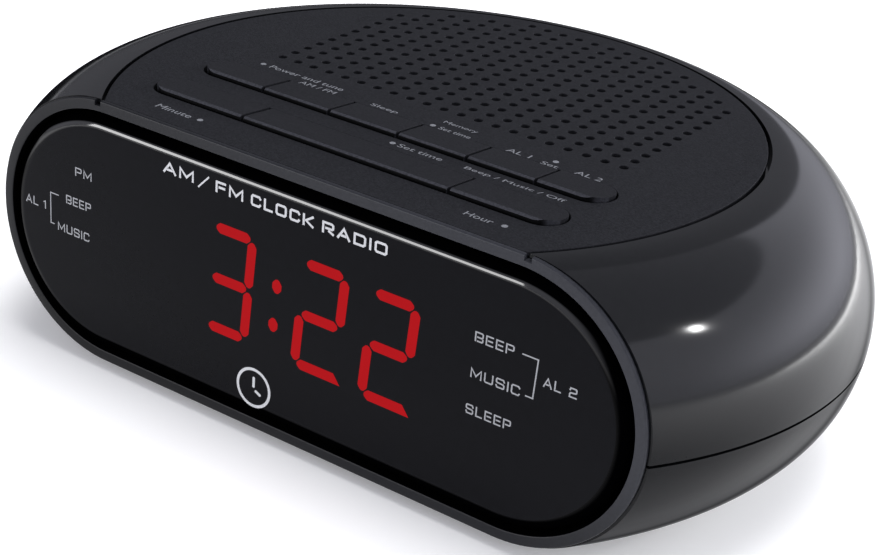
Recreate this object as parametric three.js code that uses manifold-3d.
// Bedside clock radio: a pebble-shaped housing with a pill-shaped display face,
// nine sprung keys and a field of round loudspeaker holes in its flat top panel.
// Millimetres. +Z is up, +X is to the right seen from the front, the display faces -Y.
// The origin is on the surface the radio stands on, below the middle of its box.
import * as THREE from 'three';
import { mergeVertices } from 'three/addons/utils/BufferGeometryUtils.js';
import Module from 'manifold-3d';

const wasm = await Module();
wasm.setup();

// ---------------------------------------------------------------- driving dimensions
const GAP = 0.3;               // between touching pieces
const WALL = 2.4;              // housing wall
const FOOT_H = 2;              // the feet lift the housing this far

// Housing: every level is a pair of half ellipses that ends in the flat front.
const FACE_R = 26;             // end radius of the pill-shaped front, half its height
const FACE_L = 44;             // half length of the pill's straight edges
const FRONT_Y = -58;           // plane of the housing's front edge
const REAR_Y = 58.5;           // rearmost point of the housing
const WIDEST_Y = -16;          // where the housing is widest
const HALF_W = 83;             // half width there
const FLAT_HALF_W = 59;        // half width of the flat top and bottom
const FLAT_REAR_Y = 42.5;      // rear end of the flat top and bottom
const MID_Z = FOOT_H + FACE_R;
const TOP_Z = MID_Z + FACE_R;
const FLOOR_Z = FOOT_H + WALL; // inside face of the bottom
const SEAM_Z = 26;             // parting line of the two housings
const LEVELS = 14;             // steps from bottom to top
const SIDE_STEPS = 5;          // steps from the front to the widest point
const REAR_STEPS = 12;         // steps from the widest point to the rear

// Top panel, its key openings and its loudspeaker holes.
const PANEL_T = 2.2;
const PANEL_Z = TOP_Z - PANEL_T;
const PANEL_GAP = 0.5;         // groove between panel and housing
const LEDGE_W = 3;             // shelf the panel lies on
const LEDGE_T = 2;
const HOLE_PITCH = 3.8;
const HOLE_R = 0.95;           // to a corner
const HOLE_SIDES = 4;
const HOLE_FRONT_Y = WIDEST_Y; // first row of holes
// half count of columns in each row, front to rear: a square field with a curved back
const HOLE_ROWS = [10, 10, 10, 10, 10, 10, 10, 10, 10, 10, 10, 9, 8, 6, 4];

// Front: bezel ring, channel and lens.
const LIP_T = 0.8;             // thin front lip of the housings and the panel
const RIM_T = 0.5;             // flange of the ring that covers the lips
const RIM_R = FACE_R - 0.05;
const LIP_Y = FRONT_Y + RIM_T + GAP;
const NOTCH = { x: 45.6, halfW: 0.7, h: 3 };
const BEZEL_R = FACE_R - LIP_T - GAP;
const BEZEL_IN_R = 23.8;
const BEZEL_BACK_Y = -50.5;
const BEZEL_STEP = 0.9;        // how much thicker the ring is behind the seat
const SEAT_Y = -54.2;          // front of the flange that the lens sits on
const SEAT_T = 1.8;
const SEAT_R = 20.4;
const MOUTH_Y = -50;           // rear end of the thin lip
const LENS_R = 23.2;
const LENS_EDGE = 3;           // rounding of the lens edge
const LENS_FRONT_Y = -58.5;

// Keys: two rows of wedge-shaped caps.
const KEY_DEPTH = 8;
const KEY_GAP = 0.4;
const KEY_FLANGE = 1;          // retaining edge under the panel
const KEY_RISE = 0.7;          // height of the front edge over the panel
const KEY_REAR_RISE = 0.1;     // height of the rear edge over the panel
const KEY_CHAMFER_Y = 0.5;     // sloped front edge of a cap, in depth and height
const KEY_CHAMFER_Z = 0.35;
const KEY_FLANGE_TOP = PANEL_Z - 0.4;
const KEY_FLANGE_T = 1.2;
const KEY_STEM_R = 1.6;
const KEY_STEM_Z = 48;
const REAR_ROW = {
  y: -33.2,
  edges: [-44.1, -28.5, -13.2, 2, 16.7, 30.8, 43.7],
  names: ['key_power', 'key_band', 'key_sleep', 'key_memory', 'key_alarm_1', 'key_alarm_2'],
};
const FRONT_ROW = {
  y: -46.8,
  edges: [-44, -21.8, 22.6, 42.8],
  names: ['key_minute', 'key_snooze', 'key_hour'],
};

// Switches and the board under the keys.
const SWITCH_W = 6;
const SWITCH_H = 3.4;
const SWITCH_FLOOR = 1.4;      // bottom of the well that the plunger sits in
const PLUNGER_R = 1.7;
const PLUNGER_L = 2.7;
const BOARD_T = 1.6;
const KEY_BOARD_Z = 40.7;
const KEY_BOARD = { halfW: 50.5, y0: -47.5, y1: -22 };
const BOARD_POST_R = 2.5;
const KEY_BOARD_POSTS = [[-48, -36.5], [48, -36.5], [-48, -24], [48, -24]];
const SWITCH_Z = KEY_BOARD_Z + BOARD_T + GAP;
const PLUNGER_Z = KEY_STEM_Z - GAP - PLUNGER_L;

// Loudspeaker, facing up under the holes.
const SPEAKER_Y = 7;
const SPEAKER_R = 28.5;
const FRAME_PROFILE = [
  [7, 36], [15, 36], [16, 37], [26, 49.4], [SPEAKER_R, 49.4], [SPEAKER_R, 51.2], [24.6, 51.2],
  [15, 37.6], [7, 37.6], [7, 36],
];
const MAGNET_PROFILE = [[0, 27], [18.4, 27], [19, 27.6], [19, 35.1], [18.4, 35.7], [0, 35.7]];
const CONE_PROFILE = [
  [6, 39.2], [6.8, 39.2], [6.8, 42], [20.4, 48.9], [22.2, 49.3], [22, 49.9], [20.1, 49.6],
  [6, 42.9], [6, 39.2],
];
const DUST_CAP_PROFILE = [[0, 43.6], [4, 43.4], [7.6, 43.9], [9.4, 44.8], [9.2, 45.3], [6, 47.2], [0, 48]];
const CLAMP = { overlap: 2, reach: 6.5, halfDepth: 3.5, z0: 47.6, z1: 49.1 };
const CLAMP_POST = { r: 2.2, out: 4, length: 2.2 };

// Battery bay in the bottom, with its hinged door and the snap contacts on its side wall.
const BAY = { x: 27, y0: -10, y1: 20, top: 22.5, wall: 1.6 };
const NAIL_NOTCH = { r: 4, rise: 1.5, halfL: 6 };
const DOOR_GAP = 0.4;
const DOOR_T = 2;
const TAB = { t: 1, halfL: 4, z0: 1, rise: 2.5 };
const SNAP = { t: 1.6, y0: -5.5, y1: 15.5, z0: 6, z1: 20, z: 13, studL: 2.4 };
const SNAP_STUDS = [{ y: -1.3, r: 2.8 }, { y: 11.3, r: 3.6 }];

// Fastenings and feet.
const SCREWS = [[-62, -30], [62, -30], [-48, 20], [48, 20]];
const FEET = [[-46, -42], [46, -42], [-34, 26], [34, 26]];
const FOOT_R = 6;
const FOOT_SEAT = 1.3;         // depth of the recess a foot is glued into
const SCREW_PROFILE = [
  [0, 13.6], [1, 14.4], [3, 14.2], [3, 15.7], [1.3, 15.9], [1.3, 33], [0, 34.4],
];
const BOSS = { lowerR: 4.5, upperR: 4, headR: 3.5, seatZ: 16, holeR: 1.8, threadR: 1.7, threadZ: 40 };
const GLAND = { x: -24, z: 19.2, y: 50.8, hole: 3.1, barrel: 4, flange: 5, flangeT: 1.4, length: 8 };

// Boards, the parts on them and the display block.
const MAIN_BOARD_Z = 8;
const MAIN_BOARD = { halfW: 55, y0: -45, y1: -13 };
const MAIN_BOARD_POSTS = [[-50, -42], [50, -42], [-50, -17], [50, -17]];
const ON_BOARD_Z = MAIN_BOARD_Z + BOARD_T + GAP;
const RADIO = { x0: 23, x1: 47, y0: -36, y1: -18, h: 7.6 };
const CHIP = { halfW: 15, y0: -32, y1: -23, h: 3.7 };
const CAPACITOR = { r: 5, x: -38, y: -34, h: 12.1 };
const DISPLAY_BOARD = { halfW: 40, y0: -45.9, y1: -44.3, z0: 12.5, z1: 40.2 };
const LED = { halfW: 34, y0: -53.6, y1: -46.2, z0: 15.3, z1: 40.3 };
const WELL = { xs: [-25.5, -13.5, 6.5, 21], halfW: 5.8, z0: 17.2, z1: 38.6, floorY: -48 };
const COLON_WELL = { x0: -4.6, x1: -2, z0: 23, z1: 33.6 };

// Transformer, its ribs, and the rod antenna.
const CORE = { x: -47, y: 0, w: 28, d: 14, z0: 7, z1: 35, leg: 8, window: 5.2, windowH: 18 };
const COIL_HALF_D = 12;
const RIB = { xs: [-58, -36], halfT: 1, halfL: 7 };
const ROD = { r: 4, length: 74, y: 39, z: 42 };
const WINDING = { inner: 4.3, outer: 5.8, halfL: 9, x: 18 };

// ---------------------------------------------------------------- solids and booleans
function solid(geometry) {
  geometry.deleteAttribute('normal');
  geometry.deleteAttribute('uv');
  const merged = mergeVertices(geometry, 1e-4);
  return new wasm.Manifold(new wasm.Mesh({
    numProp: 3,
    vertProperties: new Float32Array(merged.attributes.position.array),
    triVerts: new Uint32Array(merged.index.array),
  }));
}

function geometryOf(body) {
  const mesh = body.getMesh();
  const geometry = new THREE.BufferGeometry();
  geometry.setAttribute('position', new THREE.BufferAttribute(new Float32Array(mesh.vertProperties), 3));
  geometry.setIndex(new THREE.BufferAttribute(new Uint32Array(mesh.triVerts), 1));
  geometry.computeVertexNormals();
  return geometry;
}

const join = (...bodies) => bodies.reduce((sum, body) => sum.add(body));
const cut = (body, ...tools) => tools.reduce((rest, tool) => rest.subtract(tool), body);

function block(x0, x1, y0, y1, z0, z1) {
  const geometry = new THREE.BoxGeometry(x1 - x0, y1 - y0, z1 - z0);
  return solid(geometry.translate((x0 + x1) / 2, (y0 + y1) / 2, (z0 + z1) / 2));
}

// Board or flat part centred on X = 0.
const board = ({ halfW, y0, y1 }, z0, z1) => block(-halfW, halfW, y0, y1, z0, z1);

// Cylinder along Z, from z0 to z1.
function post(r, x, y, z0, z1, sides = 16) {
  const geometry = new THREE.CylinderGeometry(r, r, z1 - z0, sides);
  geometry.rotateX(Math.PI / 2);
  return solid(geometry.translate(x, y, (z0 + z1) / 2));
}

// Cylinder along Y, from y0 to y1.
function pin(r, x, z, y0, y1, sides = 16) {
  const geometry = new THREE.CylinderGeometry(r, r, y1 - y0, sides);
  return solid(geometry.translate(x, (y0 + y1) / 2, z));
}

// Solid of revolution about Z from [radius, z] points that start and end on the axis or close.
function turned(points, sides = 24) {
  const profile = points.map(([r, z]) => new THREE.Vector2(r, z));
  const geometry = new THREE.LatheGeometry(profile, sides);
  return solid(geometry.rotateX(Math.PI / 2));
}

// Flat shape in X and Y, raised from z0 to z1.
function slab(shape, z0, z1, curveSegments = 6) {
  const options = { depth: z1 - z0, bevelEnabled: false, curveSegments };
  return solid(new THREE.ExtrudeGeometry(shape, options).translate(0, 0, z0));
}

// Upright shape in X and Z, running back from y0 to y1.
function upright(shape, y0, y1, curveSegments = 6) {
  const options = { depth: y1 - y0, bevelEnabled: false, curveSegments };
  const geometry = new THREE.ExtrudeGeometry(shape, options);
  geometry.rotateX(Math.PI / 2);
  return solid(geometry.translate(0, y1, 0));
}

// Shape in Y and Z, running along X from x0 to x1.
function profile(points, x0, x1) {
  const shape = new THREE.Shape(points.map(([y, z]) => new THREE.Vector2(y, z)));
  const geometry = new THREE.ExtrudeGeometry(shape, { depth: x1 - x0, bevelEnabled: false });
  geometry.rotateX(Math.PI / 2);
  geometry.rotateZ(Math.PI / 2);
  return solid(geometry.translate(x0, 0, 0));
}

// ---------------------------------------------------------------- housing form
// One level of the housing at section angle phi, inset from the outer skin.
function level(phi, inset) {
  const reach = Math.max(Math.cos(phi), 0);
  const halfW = FLAT_HALF_W + (HALF_W - FLAT_HALF_W - inset) * reach;
  const rear = FLAT_REAR_Y - WIDEST_Y + (REAR_Y - FLAT_REAR_Y - inset) * reach;
  const frontX = FACE_L + (FACE_R - inset) * reach;
  return outline(halfW, rear, frontX);
}

// Closed outline: front right corner, right side, rear, left side, front left corner.
function outline(halfW, rear, frontX) {
  const frontAngle = Math.acos(frontX / halfW);
  const front = (WIDEST_Y - FRONT_Y) / Math.sin(frontAngle);
  const right = [];
  for (let i = 0; i < SIDE_STEPS; i += 1) {
    const angle = -frontAngle * (1 - i / SIDE_STEPS);
    right.push([halfW * Math.cos(angle), WIDEST_Y + front * Math.sin(angle)]);
  }
  for (let i = 0; i < REAR_STEPS; i += 1) {
    const angle = (Math.PI / 2) * (i / REAR_STEPS);
    right.push([halfW * Math.cos(angle), WIDEST_Y + rear * Math.sin(angle)]);
  }
  const left = right.map(([x, y]) => [-x, y]).reverse();
  return [...right, [0, WIDEST_Y + rear], ...left];
}

// Closed solid through all the levels.
function pebble(inset) {
  const rings = [];
  const positions = [];
  for (let k = 0; k <= LEVELS; k += 1) {
    const phi = Math.PI * (k / LEVELS - 0.5);
    const ring = level(phi, inset);
    const z = MID_Z + (FACE_R - inset) * Math.sin(phi);
    ring.forEach(([x, y]) => positions.push(x, y, z));
    rings.push(ring);
  }
  const count = rings[0].length;
  const index = [];
  for (let k = 0; k < LEVELS; k += 1) {
    for (let j = 0; j < count; j += 1) {
      const a = k * count + j;
      const b = k * count + ((j + 1) % count);
      index.push(a, b, b + count, a, b + count, a + count);
    }
  }
  const cap = (ring) => THREE.ShapeUtils.triangulateShape(ring.map(([x, y]) => new THREE.Vector2(x, y)), []);
  cap(rings[0]).forEach(([a, b, c]) => index.push(c, b, a));
  const top = LEVELS * count;
  cap(rings[LEVELS]).forEach(([a, b, c]) => index.push(top + a, top + b, top + c));
  const geometry = new THREE.BufferGeometry();
  geometry.setAttribute('position', new THREE.Float32BufferAttribute(positions, 3));
  geometry.setIndex(index);
  return solid(geometry);
}

// Outline of the flat top, moved outwards by grow.
function flatShape(grow) {
  const rear = FLAT_REAR_Y - WIDEST_Y + grow;
  const points = outline(FLAT_HALF_W + grow, rear, FACE_L + grow);
  return new THREE.Shape(points.map(([x, y]) => new THREE.Vector2(x, y)));
}

// Pill shape of the front face, in X and Z, with end radius r.
function pill(r) {
  const shape = new THREE.Shape();
  shape.moveTo(-FACE_L, MID_Z - r);
  shape.lineTo(FACE_L, MID_Z - r);
  shape.absarc(FACE_L, MID_Z, r, -Math.PI / 2, Math.PI / 2, false);
  shape.lineTo(-FACE_L, MID_Z + r);
  shape.absarc(-FACE_L, MID_Z, r, Math.PI / 2, Math.PI * 1.5, false);
  return shape;
}

const MARGIN = 5;              // how far cutting tools run past what they cut
const FAR = 90;                // beyond the housing in every direction
const outerForm = pebble(0);
const shell = cut(
  outerForm,
  pebble(WALL),
  upright(pill(FACE_R - LIP_T), FRONT_Y - MARGIN, MOUTH_Y, 8),
  block(-FAR, FAR, FRONT_Y - MARGIN, LIP_Y, 0, FAR),
);

// ---------------------------------------------------------------- lower housing
function lowerHousing() {
  const { x, y0, y1, top, wall } = BAY;
  const middle = (y0 + y1) / 2;
  let body = shell.intersect(block(-FAR, FAR, -FAR, FAR, -1, SEAM_Z - GAP / 2));
  body = join(body, block(-x - wall, x + wall, y0 - wall, y1 + wall, FLOOR_Z - 1, top + wall));
  SCREWS.forEach(([px, py]) => {
    body = body.add(post(BOSS.lowerR, px, py, FOOT_H, SEAM_Z - GAP).intersect(outerForm));
  });
  MAIN_BOARD_POSTS.forEach(([px, py]) => {
    body = body.add(post(BOARD_POST_R, px, py, FLOOR_Z - 1, MAIN_BOARD_Z - GAP, 10));
  });
  RIB.xs.forEach((px) => {
    const rib = block(px - RIB.halfT, px + RIB.halfT, -RIB.halfL, RIB.halfL, FLOOR_Z - 1, CORE.z0 - GAP);
    body = body.add(rib);
  });
  body = cut(
    body,
    block(-x, x, y0, y1, 0, top),
    pin(NAIL_NOTCH.r, x + 1, FOOT_H - NAIL_NOTCH.rise, middle - NAIL_NOTCH.halfL, middle + NAIL_NOTCH.halfL),
  );
  SCREWS.forEach(([px, py]) => {
    body = body.subtract(post(BOSS.headR, px, py, 0, BOSS.seatZ));
    body = body.subtract(post(BOSS.holeR, px, py, BOSS.seatZ - MARGIN, SEAM_Z + MARGIN, 12));
  });
  FEET.forEach(([px, py]) => {
    body = body.subtract(post(FOOT_R + GAP, px, py, 0, FOOT_H + FOOT_SEAT, 16));
  });
  // cord opening in the rear wall with a flat seat for its bush
  return cut(
    body,
    pin(GLAND.barrel + GAP, GLAND.x, GLAND.z, GLAND.y - 2 * MARGIN, FAR),
    pin(GLAND.flange + GAP, GLAND.x, GLAND.z, GLAND.y, FAR),
  );
}

// ---------------------------------------------------------------- upper housing
function upperHousing() {
  const ledge = slab(flatShape(1), PANEL_Z - GAP - LEDGE_T, PANEL_Z - GAP);
  let body = join(shell, ledge.intersect(block(-FAR, FAR, MOUTH_Y + 1, FAR, MID_Z, FAR)));
  SCREWS.forEach(([x, y]) => {
    body = body.add(post(BOSS.upperR, x, y, SEAM_Z + GAP, TOP_Z + MARGIN).intersect(outerForm));
  });
  body = body.intersect(block(-FAR, FAR, -FAR, FAR, SEAM_Z + GAP / 2, FAR));
  body = cut(
    body,
    slab(flatShape(PANEL_GAP), PANEL_Z - GAP, TOP_Z + MARGIN),
    slab(flatShape(-LEDGE_W), PANEL_Z - MARGIN, TOP_Z + MARGIN),
    block(-FACE_L, FACE_L, FRONT_Y - MARGIN, MOUTH_Y + 2, PANEL_Z - MARGIN, TOP_Z + MARGIN),
  );
  SCREWS.forEach(([x, y]) => {
    body = body.subtract(post(BOSS.threadR, x, y, SEAM_Z - 1, BOSS.threadZ, 12));
  });
  return body;
}

// ---------------------------------------------------------------- top panel
function rowShape({ y, edges }, grow) {
  const r = KEY_DEPTH / 2;
  const x0 = edges[0] + r;
  const x1 = edges[edges.length - 1] - r;
  const shape = new THREE.Shape();
  shape.absarc(x1, y + r, r + grow, -Math.PI / 2, Math.PI / 2, false);
  shape.absarc(x0, y + r, r + grow, Math.PI / 2, Math.PI * 1.5, false);
  shape.closePath();
  return shape;
}

function holePath(x, y) {
  const points = [];
  for (let k = 0; k < HOLE_SIDES; k += 1) {
    const angle = (2 * Math.PI * k) / HOLE_SIDES;
    points.push(new THREE.Vector2(x + HOLE_R * Math.cos(angle), y - HOLE_R * Math.sin(angle)));
  }
  return new THREE.Path(points);
}

function topPanel() {
  const shape = flatShape(0);
  HOLE_ROWS.forEach((half, row) => {
    for (let column = -half; column <= half; column += 1) {
      shape.holes.push(holePath(column * HOLE_PITCH, HOLE_FRONT_Y + row * HOLE_PITCH));
    }
  });
  let panel = slab(shape, PANEL_Z, TOP_Z);
  panel = cut(
    panel,
    slab(rowShape(REAR_ROW, KEY_GAP), PANEL_Z - MARGIN, TOP_Z + MARGIN),
    slab(rowShape(FRONT_ROW, KEY_GAP), PANEL_Z - MARGIN, TOP_Z + MARGIN),
    upright(pill(FACE_R - LIP_T), FRONT_Y - MARGIN, MOUTH_Y, 8),
    block(-FAR, FAR, FRONT_Y - MARGIN, LIP_Y, 0, FAR),
  );
  KEY_BOARD_POSTS.forEach(([x, y]) => {
    panel = panel.add(post(BOARD_POST_R, x, y, SWITCH_Z, PANEL_Z + 1, 10));
  });
  [-1, 1].forEach((side) => {
    const x = side * (SPEAKER_R + CLAMP_POST.out);
    panel = panel.add(post(CLAMP_POST.r, x, SPEAKER_Y, PANEL_Z - CLAMP_POST.length, PANEL_Z + 1, 10));
  });
  return panel;
}

// ---------------------------------------------------------------- front
// Ring with a thin flange over the lips; the flange is notched where the panel's groove meets it.
function frontBezel() {
  const notches = [-NOTCH.x, NOTCH.x].map((x) => (
    block(x - NOTCH.halfW, x + NOTCH.halfW, FRONT_Y - 1, FRONT_Y + RIM_T, TOP_Z - NOTCH.h, FAR)
  ));
  return cut(
    join(
      upright(pill(BEZEL_R), FRONT_Y, BEZEL_BACK_Y, 8),
      cut(upright(pill(RIM_R), FRONT_Y, FRONT_Y + RIM_T, 8), ...notches),
    ),
    upright(pill(BEZEL_IN_R), FRONT_Y - MARGIN, SEAT_Y, 8),
    upright(pill(SEAT_R), FRONT_Y, MOUTH_Y, 8),
    upright(pill(BEZEL_IN_R - BEZEL_STEP), SEAT_Y + SEAT_T, MOUTH_Y, 8),
  );
}

// The lens has a rounded front edge, built up from shrinking pills.
function displayLens() {
  const steps = 4;
  const rings = [];
  for (let k = 0; k <= steps; k += 1) {
    const angle = (Math.PI / 2) * (k / steps);
    const r = LENS_R - LENS_EDGE * (1 - Math.cos(angle));
    rings.push([r, LENS_FRONT_Y + LENS_EDGE * (1 - Math.sin(angle))]);
  }
  rings.unshift([LENS_R, SEAT_Y - GAP]);
  const outlinePoints = (r) => pill(r).getPoints(8);
  const positions = [];
  const count = mergedCount(outlinePoints(1));
  rings.forEach(([r, y]) => {
    outlinePoints(r).slice(0, count).forEach((p) => positions.push(p.x, y, p.y));
  });
  const index = [];
  for (let k = 0; k < rings.length - 1; k += 1) {
    for (let j = 0; j < count; j += 1) {
      const a = k * count + j;
      const b = k * count + ((j + 1) % count);
      index.push(a, b, b + count, a, b + count, a + count);
    }
  }
  const flat = THREE.ShapeUtils.triangulateShape(outlinePoints(LENS_R).slice(0, count), []);
  const last = (rings.length - 1) * count;
  flat.forEach(([a, b, c]) => {
    index.push(c, b, a);
    index.push(last + a, last + b, last + c);
  });
  const geometry = new THREE.BufferGeometry();
  geometry.setAttribute('position', new THREE.Float32BufferAttribute(positions, 3));
  geometry.setIndex(index);
  return solid(geometry);
}

// Number of points before the outline comes back to its start.
function mergedCount(points) {
  const first = points[0];
  const last = points[points.length - 1];
  return first.distanceTo(last) < 1e-6 ? points.length - 1 : points.length;
}

// Light block of the display: a well for each digit and one for the colon.
function ledDisplay() {
  const well = (x0, x1, z0, z1) => block(x0, x1, LED.y0 - 1, WELL.floorY, z0, z1);
  return cut(
    block(-LED.halfW, LED.halfW, LED.y0, LED.y1, LED.z0, LED.z1),
    ...WELL.xs.map((x) => well(x - WELL.halfW, x + WELL.halfW, WELL.z0, WELL.z1)),
    well(COLON_WELL.x0, COLON_WELL.x1, COLON_WELL.z0, COLON_WELL.z1),
  );
}

// ---------------------------------------------------------------- keys and switches
// Extent of one key along its row.
function keySpan(row, place) {
  const last = row.names.length - 1;
  const x0 = row.edges[place] + (place === 0 ? 0 : KEY_GAP / 2);
  const x1 = row.edges[place + 1] - (place === last ? 0 : KEY_GAP / 2);
  return { x0, x1, x: (x0 + x1) / 2, y: row.y + KEY_DEPTH / 2 };
}

function keyBody(row, place) {
  const { x0, x1, x, y } = keySpan(row, place);
  const y0 = row.y;
  const y1 = row.y + KEY_DEPTH;
  const bottom = KEY_FLANGE_TOP - KEY_FLANGE_T;
  const frontZ = TOP_Z + KEY_RISE;
  const side = [
    [y0, bottom], [y1, bottom], [y1, TOP_Z + KEY_REAR_RISE],
    [y0 + KEY_CHAMFER_Y, frontZ], [y0, frontZ - KEY_CHAMFER_Z],
  ];
  const cap = slab(rowShape(row, 0), bottom, frontZ + 1).intersect(profile(side, x0, x1));
  const flange = block(x0, x1, y0 - KEY_FLANGE, y1 + KEY_FLANGE, bottom, KEY_FLANGE_TOP);
  const stem = post(KEY_STEM_R, x, y, KEY_STEM_Z, bottom + 0.5, 10);
  return join(cap, flange, stem);
}

function tactSwitch() {
  const half = SWITCH_W / 2;
  const well = post(PLUNGER_R + GAP, 0, 0, SWITCH_FLOOR, SWITCH_H + MARGIN, 12);
  return cut(block(-half, half, -half, half, 0, SWITCH_H), well);
}

// ---------------------------------------------------------------- loudspeaker
function speakerClamp(side) {
  const ends = [side * (SPEAKER_R - CLAMP.overlap), side * (SPEAKER_R + CLAMP.reach)];
  const y0 = SPEAKER_Y - CLAMP.halfDepth;
  return block(Math.min(...ends), Math.max(...ends), y0, y0 + 2 * CLAMP.halfDepth, CLAMP.z0, CLAMP.z1);
}

// ---------------------------------------------------------------- power supply
function transformerCore() {
  const { x, y, w, d, z0, z1, leg, window, windowH } = CORE;
  const z = (z0 + z1) / 2;
  const windowAt = (side) => {
    const near = x + (side * leg) / 2;
    const far = near + side * window;
    const low = Math.min(near, far);
    return block(low, low + window, y - d, y + d, z - windowH / 2, z + windowH / 2);
  };
  return cut(block(x - w / 2, x + w / 2, y - d / 2, y + d / 2, z0, z1), windowAt(-1), windowAt(1));
}

function transformerCoil() {
  const { x, y, d, z0, z1, leg, window, windowH } = CORE;
  const z = (z0 + z1) / 2;
  const halfX = leg / 2 + window - GAP;
  const halfZ = windowH / 2 - GAP;
  const boreX = leg / 2 + GAP;
  const boreY = d / 2 + GAP;
  return cut(
    block(x - halfX, x + halfX, y - COIL_HALF_D, y + COIL_HALF_D, z - halfZ, z + halfZ),
    block(x - boreX, x + boreX, y - boreY, y + boreY, z0, z1),
  );
}

// ---------------------------------------------------------------- battery door
// Flat cover with one rounded end that turns, and a snap tab at the other.
const HINGE = { x: -BAY.x + DOOR_GAP + DOOR_T / 2, z: FOOT_H + DOOR_T / 2 };

function batteryDoor() {
  const y0 = BAY.y0 + DOOR_GAP;
  const y1 = BAY.y1 - DOOR_GAP;
  const x1 = BAY.x - DOOR_GAP;
  let door = block(HINGE.x, x1, y0, y1, FOOT_H, FOOT_H + DOOR_T);
  door = door.add(pin(DOOR_T / 2, HINGE.x, HINGE.z, y0, y1, 12));
  const middle = (y0 + y1) / 2;
  const tabTop = FOOT_H + DOOR_T + TAB.rise;
  return door.add(block(x1 - TAB.t, x1, middle - TAB.halfL, middle + TAB.halfL, FOOT_H + TAB.z0, tabTop));
}

function batterySnap() {
  const x0 = -BAY.x + GAP;
  const plate = block(x0, x0 + SNAP.t, SNAP.y0, SNAP.y1, SNAP.z0, SNAP.z1);
  const studs = SNAP_STUDS.map(({ y, r }) => {
    const geometry = new THREE.CylinderGeometry(r, r, SNAP.studL, 10);
    geometry.rotateZ(Math.PI / 2);
    return solid(geometry.translate(x0 + SNAP.studL, y, SNAP.z));
  });
  return join(plate, ...studs);
}

// ---------------------------------------------------------------- small parts
// Foot with a small chamfer round its standing face.
function foot() {
  const chamfer = 0.5;
  const top = FOOT_H + FOOT_SEAT - GAP;
  return turned([[0, 0], [FOOT_R - chamfer, 0], [FOOT_R, chamfer], [FOOT_R, top], [0, top]], 16);
}

function cordGland() {
  const { x, z, y, hole, barrel, flange, flangeT, length } = GLAND;
  const seat = y + GAP;
  const bush = join(
    pin(flange, x, z, seat, seat + flangeT, 16),
    pin(barrel, x, z, seat - length, seat + 1, 16),
  );
  return bush.subtract(pin(hole, x, z, 0, FAR, 16));
}

function rod() {
  const geometry = new THREE.CylinderGeometry(ROD.r, ROD.r, ROD.length, 16);
  geometry.rotateZ(Math.PI / 2);
  return solid(geometry);
}

function winding() {
  const { inner, outer, halfL } = WINDING;
  const sides = [[inner, -halfL], [outer, -halfL], [outer, halfL], [inner, halfL], [inner, -halfL]];
  return geometryOf(turned(sides, 20)).rotateY(Math.PI / 2);
}

// ---------------------------------------------------------------- finishes and assembly
const FINISH = {
  gloss: { color: 0x0b0c0e, roughness: 0.12, metalness: 0 },
  matte: { color: 0x1b1c1f, roughness: 0.55, metalness: 0 },
  bezel: { color: 0x2b2d31, roughness: 0.3, metalness: 0 },
  lens: { color: 0x08090a, roughness: 0.08, metalness: 0 },
  rubber: { color: 0x161616, roughness: 0.9, metalness: 0 },
  board: { color: 0x1d5a34, roughness: 0.6, metalness: 0 },
  plastic: { color: 0xd8d6cf, roughness: 0.5, metalness: 0 },
  dark: { color: 0x202022, roughness: 0.5, metalness: 0 },
  steel: { color: 0xa9abad, roughness: 0.35, metalness: 1 },
  iron: { color: 0x55565a, roughness: 0.6, metalness: 0.8 },
  copper: { color: 0xa55a2a, roughness: 0.4, metalness: 0.9 },
  paper: { color: 0x2a2826, roughness: 0.95, metalness: 0 },
};

const radio = new THREE.Group();
radio.name = 'clock_radio';

function add(name, geometry, finish, x = 0, y = 0, z = 0) {
  const mesh = new THREE.Mesh(geometry, new THREE.MeshStandardMaterial(FINISH[finish]));
  mesh.name = name;
  mesh.position.set(x, y, z);
  radio.add(mesh);
}

add('lower_housing', geometryOf(lowerHousing()), 'gloss');
add('upper_housing', geometryOf(upperHousing()), 'gloss');
add('top_panel', geometryOf(topPanel()), 'matte');
add('front_bezel', geometryOf(frontBezel()), 'bezel');
add('display_lens', geometryOf(displayLens()), 'lens');
add('led_display', geometryOf(ledDisplay()), 'plastic');
add('display_board', geometryOf(board(DISPLAY_BOARD, DISPLAY_BOARD.z0, DISPLAY_BOARD.z1)), 'board');
add('key_board', geometryOf(board(KEY_BOARD, KEY_BOARD_Z, KEY_BOARD_Z + BOARD_T)), 'board');
add('main_board', geometryOf(board(MAIN_BOARD, MAIN_BOARD_Z, MAIN_BOARD_Z + BOARD_T)), 'board');

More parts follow.
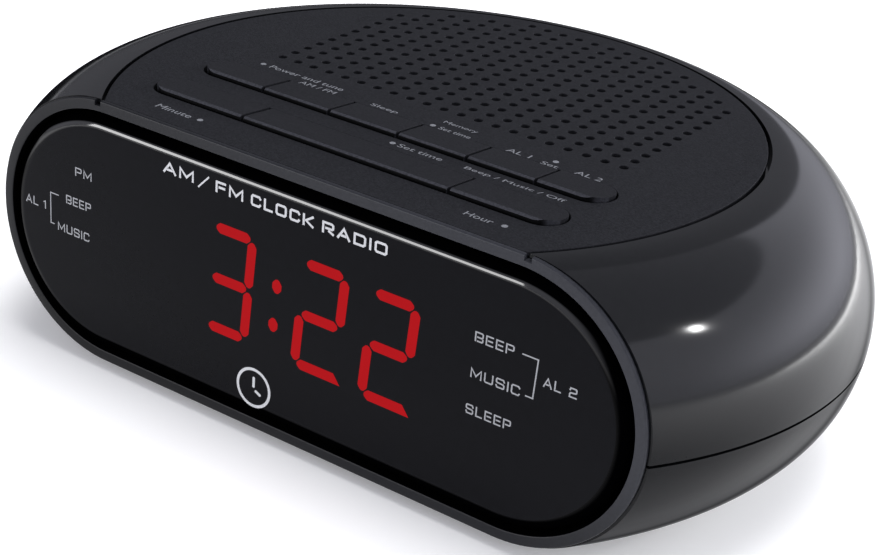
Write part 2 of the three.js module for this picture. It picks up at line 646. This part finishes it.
const switchGeometry = geometryOf(tactSwitch());
const plungerGeometry = geometryOf(post(PLUNGER_R, 0, 0, 0, PLUNGER_L, 12));
[REAR_ROW, FRONT_ROW].forEach((row) => {
  row.names.forEach((name, place) => {
    const { x, y } = keySpan(row, place);
    const label = name.replace('key_', '');
    add(name, geometryOf(keyBody(row, place)), 'matte');
    add(`switch_${label}`, switchGeometry, 'dark', x, y, SWITCH_Z);
    add(`plunger_${label}`, plungerGeometry, 'plastic', x, y, PLUNGER_Z);
  });
});

add('speaker_frame', geometryOf(turned(FRAME_PROFILE)), 'steel', 0, SPEAKER_Y, 0);
add('speaker_magnet', geometryOf(turned(MAGNET_PROFILE)), 'iron', 0, SPEAKER_Y, 0);
add('speaker_cone', geometryOf(turned(CONE_PROFILE)), 'paper', 0, SPEAKER_Y, 0);
add('speaker_dust_cap', geometryOf(turned(DUST_CAP_PROFILE, 20)), 'paper', 0, SPEAKER_Y, 0);
add('speaker_clamp_left', geometryOf(speakerClamp(-1)), 'steel');
add('speaker_clamp_right', geometryOf(speakerClamp(1)), 'steel');
add('transformer_core', geometryOf(transformerCore()), 'iron');
add('transformer_coil', geometryOf(transformerCoil()), 'copper');

const radioModule = block(RADIO.x0, RADIO.x1, RADIO.y0, RADIO.y1, ON_BOARD_Z, ON_BOARD_Z + RADIO.h);
const capacitor = post(CAPACITOR.r, CAPACITOR.x, CAPACITOR.y, ON_BOARD_Z, ON_BOARD_Z + CAPACITOR.h);
add('radio_module', geometryOf(radioModule), 'steel');
add('clock_chip', geometryOf(board(CHIP, ON_BOARD_Z, ON_BOARD_Z + CHIP.h)), 'dark');
add('smoothing_capacitor', geometryOf(capacitor), 'dark');
add('ferrite_rod', geometryOf(rod()), 'iron', 0, ROD.y, ROD.z);
add('antenna_winding', winding(), 'copper', WINDING.x, ROD.y, ROD.z);

add('battery_door', geometryOf(batteryDoor()), 'gloss');
add('battery_snap', geometryOf(batterySnap()), 'steel');
add('cord_gland', geometryOf(cordGland()), 'rubber');
const footGeometry = geometryOf(foot());
const screwGeometry = geometryOf(turned(SCREW_PROFILE, 12));
['front_left', 'front_right', 'rear_left', 'rear_right'].forEach((corner, k) => {
  add(`foot_${corner}`, footGeometry, 'rubber', FEET[k][0], FEET[k][1], 0);
  add(`screw_${corner}`, screwGeometry, 'steel', SCREWS[k][0], SCREWS[k][1], 0);
});

export default radio;
